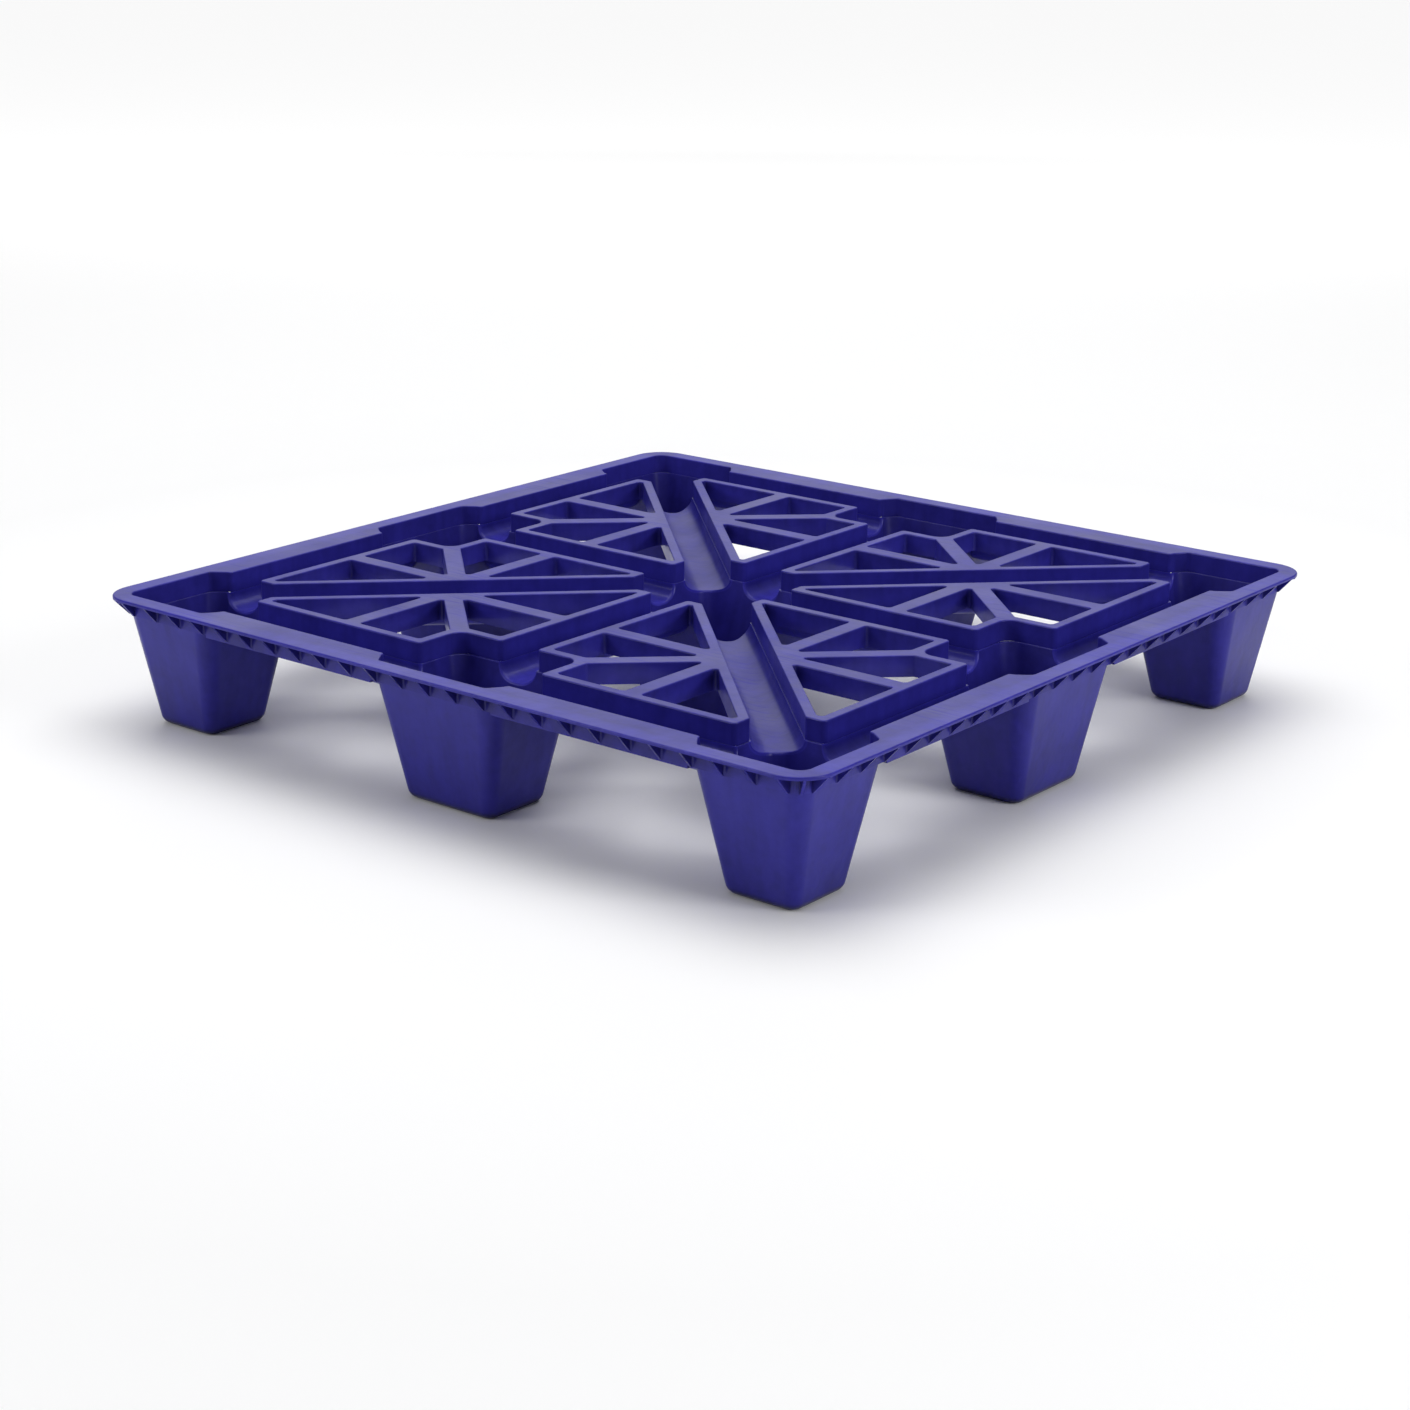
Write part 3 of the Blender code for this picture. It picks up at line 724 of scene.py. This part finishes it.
def gutter_runs():
    """Every gutter as (node, run)."""
    edge_half = (EDGE_GUTTER_FAR - EDGE_GUTTER_NEAR) / 2
    foot_middle = (FOOT_NEAR_TOP + SKIRT_OUTER) / 2
    runs = []
    for turns, side in enumerate(SIDES):
        turned = Matrix.Rotation(turns * QUARTER, 2)
        out = Vector((round(turned.col[0].x), round(turned.col[0].y)))
        left = Vector((-out.y, out.x))
        middle = (int(out.x), int(out.y))
        spots = ((0, 0), middle)
        far = out * foot_middle
        run = Run(spots, (0, 0), far, CROSS_GUTTER_HALF, STRAIGHT_SWEEPS)
        runs.append((f"{side}_cross_gutter", run))
        for sign in (1, -1):
            corner = out + left * sign
            spots = (middle, (int(corner.x), int(corner.y)))
            lane = out * EDGE_GUTTER_MIDDLE
            node = f"{side}_edge_gutter_{SIDES[(turns + sign) % 4]}"
            far = lane + left * sign * foot_middle
            runs.append((node, Run(spots, lane, far, edge_half, STRAIGHT_SWEEPS)))
        corner = out + left
        spots = ((0, 0), (int(corner.x), int(corner.y)))
        node = "diagonal_gutter_" + pair_name(side, SIDES[(turns + 1) % 4])
        half = DIAGONAL_OFFSET / math.sqrt(2)
        far = corner * foot_middle
        runs.append((node, Run(spots, (0, 0), far, half, SLANTED_SWEEPS)))
    return runs


def foot_name(spot):
    depth = {-1: "front", 0: "", 1: "back"}[spot[1]]
    width = {-1: "left", 0: "", 1: "right"}[spot[0]]
    return "foot_" + ("_".join(word for word in (depth, width) if word) or "centre")


def feet_and_gutters(foot_material, gutter_material):
    spots = [(x, y) for x in (-1, 0, 1) for y in (-1, 0, 1)]
    cavities = {spot: foot_cavity(spot) for spot in spots}
    cutters = {spot: [cavities[spot]] for spot in spots}
    still = Matrix.Identity(4)
    for node, run in gutter_runs():
        hollow = run.hollow()
        ends = [cavities[spot] for spot in run.spots]
        mesh = mended(carved(run.outer(STEP_Z), [hollow] + ends))
        place(node, mesh, still, gutter_material)
        for spot in run.spots:
            cutters[spot] += [run.outer(STEP_Z + PAST), hollow]
    for spot in spots:
        mesh = mended(carved(foot_solid(spot), cutters[spot]))
        place(foot_name(spot), mesh, still, foot_material)


# ---- rim ----
def rim_side_contour():
    """A rim side in plan at +Y, running past both of its ends."""
    end = SIDE_END + PAST
    inner = []
    radii = []

    def shoulder(cup_edge, way, reverse):
        spots = [(cup_edge - way * dx, y) for dx, y in SHOULDER]
        order = range(len(spots))
        for k in reversed(order) if reverse else order:
            inner.append(spots[k])
            radii.append(SHOULDER_RADII[k])

    shoulder(-CUP_NEAR, 1, False)
    shoulder(-CUP_HALF, -1, True)
    shoulder(CUP_HALF, 1, False)
    shoulder(CUP_NEAR, -1, True)
    corners = [(-end, SKIRT_INNER)] + inner + [(end, SKIRT_INNER)]
    corners += [(end, RIM_EDGE), (-end, RIM_EDGE)]
    return corners, [0] + radii + [0, 0, 0]


def slope_cutter(length):
    """Everything outside and below the sloping edges of a side's gussets."""
    out = RIM_EDGE + PAST
    low = SKIRT_LOW_Z - 2 * PAST
    outline = [
        (SKIRT_OUTER, low),
        (out, low),
        (out, FLANGE_UNDER_Z + FLANGE_LIP),
        (RIM_EDGE, FLANGE_UNDER_Z + FLANGE_LIP),
        GUSSET_TOP,
        (SKIRT_OUTER, GUSSET_TIP_Z),
    ]
    return lying(prism("slope", outline, -length / 2, length / 2))


def bay(start, end):
    """The space between two gussets, with small fillets where they meet the skirt."""
    out = RIM_EDGE + PAST
    corners = rectangle(start, end, SKIRT_OUTER, out)
    root = GUSSET_ROOT_RADIUS
    outline = rounded(corners, [root, root, 0, 0])
    return prism("bay", outline, SKIRT_LOW_Z - PAST, FLANGE_UNDER_Z)


def rim_side_mesh():
    side = block("rim side", [rim_side_contour()], SKIRT_LOW_Z, HEIGHT, DECK_FILLET)
    cutters = [slope_cutter(2 * (SIDE_END + 2 * PAST))]
    half = WALL / 2
    for k in range(-GUSSETS_PER_HALF_SIDE - 1, GUSSETS_PER_HALF_SIDE + 1):
        start = k * GUSSET_PITCH
        cutters.append(bay(start + half, start + GUSSET_PITCH - half))
    low = SKIRT_LOW_Z - PAST
    for way in (1, -1):
        near, far = sorted((way * (CUP_HALF + WALL), way * (CUP_NEAR - WALL)))
        pocket = rectangle(near, far, EDGE_GUTTER_FAR + WALL, SKIRT_INNER)
        cutters.append(prism("pocket", pocket, low, FLANGE_UNDER_Z))
    out = RIM_EDGE + PAST
    inside = EDGE_GUTTER_FAR - PAST
    past_end = SIDE_END + 2 * PAST
    foot_half = FOOT_MIDDLE_TOP - WALL / 2
    foot_near = FOOT_NEAR_TOP + WALL / 2
    for x0, x1 in ((-past_end, -foot_near), (-foot_half, foot_half), (foot_near, past_end)):
        cutters.append(prism("step", rectangle(x0, x1, inside, out), low, STEP_Z))
    ledge = rectangle(-past_end, past_end, inside, EDGE_GUTTER_FAR + 2 * WALL)
    cutters.append(prism("ledge", ledge, low, STEP_Z))
    side = carved(side, cutters)
    side = sliced(side, (SIDE_END, 0, 0), (1, 0, 0))
    return sliced(side, (-SIDE_END, 0, 0), (-1, 0, 0))


def corner_under():
    """The space under a corner's flange, outside its skirt, between its three gussets."""
    start = SIDE_END - PAST
    out = RIM_EDGE + PAST
    corners = [
        (start, SKIRT_OUTER),
        (SKIRT_OUTER, SKIRT_OUTER),
        (SKIRT_OUTER, start),
        (out, start),
        (out, out),
        (start, out),
    ]
    outline = rounded(corners, [0, SKIRT_CORNER_RADIUS, 0, 0, 0, 0])
    return prism("under", outline, STEP_Z - PAST, FLANGE_UNDER_Z)


def corner_gussets():
    """(matrix, distance of the skirt, extra length) of a corner's gussets along local +Y."""
    skirt_centre = SKIRT_OUTER - SKIRT_CORNER_RADIUS
    diagonal = Matrix.Translation((skirt_centre, skirt_centre, 0))
    diagonal @= Matrix.Rotation(-QUARTER / 2, 4, "Z")
    growth = (RIM_CORNER_RADIUS - SKIRT_CORNER_RADIUS) * (math.sqrt(2) - 1) / 4
    return [
        (Matrix.Translation((CORNER_GUSSET_AT, 0, 0)), SKIRT_OUTER, 0.0),
        (Matrix.Translation((0, CORNER_GUSSET_AT, 0)) @ spin(-1), SKIRT_OUTER, 0.0),
        (diagonal, SKIRT_CORNER_RADIUS, growth),
    ]


def rim_corner_mesh():
    """A rim corner where +X meets +Y."""
    start = SIDE_END - PAST
    corners = [
        (start, SKIRT_INNER),
        (SKIRT_INNER, SKIRT_INNER),
        (SKIRT_INNER, start),
        (RIM_EDGE, start),
        (RIM_EDGE, RIM_EDGE),
        (start, RIM_EDGE),
    ]
    radii = [0, SKIRT_CORNER_RADIUS - WALL, 0, 0, RIM_CORNER_RADIUS, 0]
    corner = block("rim corner", [(corners, radii)], STEP_Z, HEIGHT, DECK_FILLET)
    plates = []
    slopes = []
    half = WALL / 2
    for matrix, skirt, growth in corner_gussets():
        past = skirt + 3 * PAST
        plate = prism("plate", rectangle(-half, half, skirt - half, past), 0, 2 * HEIGHT)
        plate.transform(matrix)
        plates.append(plate)
        tip = skirt + GUSSET_TOP[0] - SKIRT_OUTER + growth
        outline = [
            (skirt, STEP_Z - 2 * PAST),
            (past, STEP_Z - 2 * PAST),
            (past, GUSSET_TOP[1]),
            (tip, GUSSET_TOP[1]),
            (skirt, GUSSET_TIP_Z),
        ]
        slope = lying(prism("slope", outline, -2 * half, 2 * half))
        slope.transform(matrix)
        slopes.append(slope)
    corner = carved(corner, [carved(corner_under(), plates)] + slopes)
    corner = sliced(corner, (SIDE_END, 0, 0), (-1, 0, 0))
    return sliced(corner, (0, SIDE_END, 0), (0, -1, 0))


def rim(material):
    side = rim_side_mesh()
    corner = rim_corner_mesh()
    for turns, name in enumerate(SIDES):
        place("rim_" + name, side, spin(turns - 1), material)
        node = "rim_corner_" + pair_name(name, SIDES[(turns + 1) % 4])
        place(node, corner, spin(turns), material)


# ---- materials ----
def set_inputs(shader, values):
    for key, value in values.items():
        shader.inputs[key].default_value = value


def noise(tree, space, pattern):
    made = tree.nodes.new("ShaderNodeTexNoise")
    set_inputs(made, dict(zip(("Scale", "Detail", "Distortion"), pattern)))
    tree.links.new(space, made.inputs["Vector"])
    return made.outputs["Fac"]


def spread(tree, value, source, target):
    """The value mapped from one range to another, held at its ends."""
    made = tree.nodes.new("ShaderNodeMapRange")
    tree.links.new(value, made.inputs["Value"])
    set_inputs(made, dict(zip(("From Min", "From Max"), source)))
    set_inputs(made, dict(zip(("To Min", "To Max"), target)))
    return made.outputs["Result"]


def maths(tree, operation, first, second):
    """Either value may be a socket or a number."""
    made = tree.nodes.new("ShaderNodeMath")
    made.operation = operation
    for socket, value in zip(made.inputs, (first, second)):
        if isinstance(value, (int, float)):
            socket.default_value = value
        else:
            tree.links.new(value, socket)
    return made.outputs["Value"]


def stretched(tree, space, turn, scale):
    made = tree.nodes.new("ShaderNodeMapping")
    set_inputs(made, {"Rotation": (0, 0, turn), "Scale": scale})
    tree.links.new(space, made.inputs["Vector"])
    return made.outputs["Vector"]


def object_space(tree):
    return tree.nodes.new("ShaderNodeTexCoord").outputs["Object"]


def scuffed(tree, space, upward):
    """A mask of two directions of fine scratches, in patches, on the faces that look up."""
    both = None
    for turn in SCUFF_TURNS:
        streaks = noise(tree, stretched(tree, space, turn, SCUFF_STRETCH), SCUFFS)
        mask = spread(tree, streaks, SCUFF_RANGE, MASK)
        patches = spread(tree, noise(tree, space, SCUFFED_PATCHES), PATCH_RANGE, MASK)
        mask = maths(tree, "MULTIPLY", mask, patches)
        both = mask if both is None else maths(tree, "MAXIMUM", both, mask)
    return maths(tree, "MULTIPLY", both, upward)


def painted_crevice_shade(tree):
    """Painted shade: darker where the surface is closed in, standing in for the light lost
    there.
    """
    painted_shade_occlusion = tree.nodes.new("ShaderNodeAmbientOcclusion")
    painted_shade_occlusion.samples = PAINTED_SHADE_SAMPLES
    painted_shade_occlusion.inputs["Distance"].default_value = PAINTED_SHADE_REACH
    return spread(tree, painted_shade_occlusion.outputs["AO"], PAINTED_SHADE_RANGE, PAINTED_SHADE_LEVELS)


def plastic(slot, painted_light_tint, roughness, painted_top_light, coat):
    """Moulded polypropylene: cloudy flow marks, fine grain, scuffs, paler worn edges; painted
    light on upward faces and per part, painted shade in recesses.
    """
    made = bpy.data.materials.new(slot + LOOK)
    made.use_nodes = True
    tree = made.node_tree
    shader = tree.nodes["Principled BSDF"]
    space = object_space(tree)
    surface = tree.nodes.new("ShaderNodeNewGeometry")
    facing = tree.nodes.new("ShaderNodeSeparateXYZ")
    tree.links.new(surface.outputs["True Normal"], facing.inputs["Vector"])
    upward = spread(tree, facing.outputs["Z"], UPWARD_RANGE, MASK)
    edges = spread(tree, surface.outputs["Pointiness"], EDGE_RANGE, MASK)
    scuffs = scuffed(tree, space, upward)

    clouds = spread(tree, noise(tree, space, CLOUDS), BROAD_NOISE, CLOUD_SHADES)
    mottle = spread(tree, noise(tree, space, MOTTLE), FINE_NOISE, MOTTLE_SHADES)
    flow = noise(tree, stretched(tree, space, 0.0, FLOW_STRETCH), FLOW_MARKS)
    light = maths(tree, "MULTIPLY", clouds, mottle)
    light = maths(tree, "MULTIPLY", light, spread(tree, flow, FINE_NOISE, FLOW_SHADES))
    # painted light makes upward faces paler; scuffs and worn edges are paler as real wear
    for mask, amount in ((upward, painted_top_light), (scuffs, WORN_SHADE), (edges, WORN_SHADE)):
        light = maths(tree, "ADD", light, maths(tree, "MULTIPLY", mask, amount))
    # painted shade in recesses and corners, multiplied into the base colour
    light = maths(tree, "MULTIPLY", light, painted_crevice_shade(tree))
    shade = tree.nodes.new("ShaderNodeVectorMath")
    shade.operation = "SCALE"
    # painted light: each part's brightness scales the one plastic colour
    shade.inputs[0].default_value = [channel * painted_light_tint for channel in PLASTIC_COLOUR]
    tree.links.new(light, shade.inputs["Scale"])
    tree.links.new(shade.outputs["Vector"], shader.inputs["Base Color"])

    limits = (roughness - ROUGHNESS_SPREAD, roughness + ROUGHNESS_SPREAD)
    rough = spread(tree, noise(tree, space, POLISH), BROAD_NOISE, limits)
    rough = maths(tree, "ADD", rough, maths(tree, "MULTIPLY", scuffs, SCUFF_ROUGHNESS))
    tree.links.new(rough, shader.inputs["Roughness"])

    relief = maths(tree, "MULTIPLY", noise(tree, space, WAVES), WAVE_RELIEF)
    grain = maths(tree, "MULTIPLY", noise(tree, space, GRAIN), GRAIN_RELIEF)
    relief = maths(tree, "ADD", relief, grain)
    relief = maths(tree, "SUBTRACT", relief, maths(tree, "MULTIPLY", scuffs, SCUFF_RELIEF))
    bump = tree.nodes.new("ShaderNodeBump")
    set_inputs(bump, {"Strength": BUMP_STRENGTH, "Distance": BUMP_DEPTH})
    tree.links.new(relief, bump.inputs["Height"])
    for key in ("Normal", "Coat Normal"):
        tree.links.new(bump.outputs["Normal"], shader.inputs[key])
    set_inputs(shader, PLASTIC_INPUTS)
    shader.inputs["Coat Weight"].default_value = coat
    return made


def floor_material():
    """Pale, with a glow far out, so that it doesn't darken where the lights don't reach."""
    made = bpy.data.materials.new("pale_floor")
    made.use_nodes = True
    tree = made.node_tree
    shader = tree.nodes["Principled BSDF"]
    set_inputs(shader, FLOOR_INPUTS)
    distance = tree.nodes.new("ShaderNodeVectorMath")
    distance.operation = "LENGTH"
    tree.links.new(object_space(tree), distance.inputs[0])
    glow = spread(tree, distance.outputs["Value"], GLOW_DISTANCES, GLOW_STRENGTHS)
    tree.links.new(glow, shader.inputs["Emission Strength"])
    return made


# ---- stage ----
def floor():
    body = bmesh.new()
    bmesh.ops.create_grid(body, x_segments=2, y_segments=2, size=FLOOR_HALF)
    made = bpy.data.objects.new("floor", mesh_of(body, "floor"))
    made.data.materials.append(floor_material())
    made.location.z = CAD_BOX[0].z
    bpy.context.scene.collection.objects.link(made)


def camera():
    a = CAMERA_AZIMUTH
    e = CAMERA_ELEVATION
    right = Vector((math.cos(a), math.sin(a), 0))
    back = Vector((math.sin(a) * math.cos(e), -math.cos(a) * math.cos(e), math.sin(e)))
    up = back.cross(right)
    turned_right = right * math.cos(CAMERA_ROLL) + up * math.sin(CAMERA_ROLL)
    turned_up = up * math.cos(CAMERA_ROLL) - right * math.sin(CAMERA_ROLL)
    lens = bpy.data.cameras.new("camera")
    lens.sensor_width = CAMERA_SENSOR
    lens.lens = CAMERA_LENS
    lens.shift_x, lens.shift_y = CAMERA_SHIFT
    made = bpy.data.objects.new("camera", lens)
    axes = Matrix((turned_right, turned_up, back)).transposed()
    made.matrix_world = Matrix.Translation(CAMERA_PLACE) @ axes.to_4x4()
    bpy.context.scene.collection.objects.link(made)
    bpy.context.scene.camera = made


def softbox(name, place_at, size, watts):
    """A large area light that faces the pallet."""
    data = bpy.data.lights.new(name, "AREA")
    data.shape = "RECTANGLE"
    data.size, data.size_y = size
    data.energy = watts
    made = bpy.data.objects.new(name, data)
    made.location = place_at
    made.rotation_euler = (-Vector(place_at)).to_track_quat("-Z", "Y").to_euler()
    made.visible_camera = False
    bpy.context.scene.collection.objects.link(made)


def lights():
    world = bpy.data.worlds.new("studio")
    world.use_nodes = True
    backdrop = world.node_tree.nodes["Background"]
    set_inputs(backdrop, {"Color": WORLD_COLOUR, "Strength": WORLD_STRENGTH})
    bpy.context.scene.world = world
    for name, place_at, size, watts in SOFTBOXES:
        softbox(name, place_at, size, watts)


looks = {slot: plastic(slot, *values) for slot, values in PLASTICS.items()}
deck_panels(looks["deck_plastic"])
feet_and_gutters(looks["foot_plastic"], looks["gutter_plastic"])
rim(looks["rim_plastic"])
floor()
lights()
camera()
bpy.context.scene.view_settings.view_transform = "Standard"
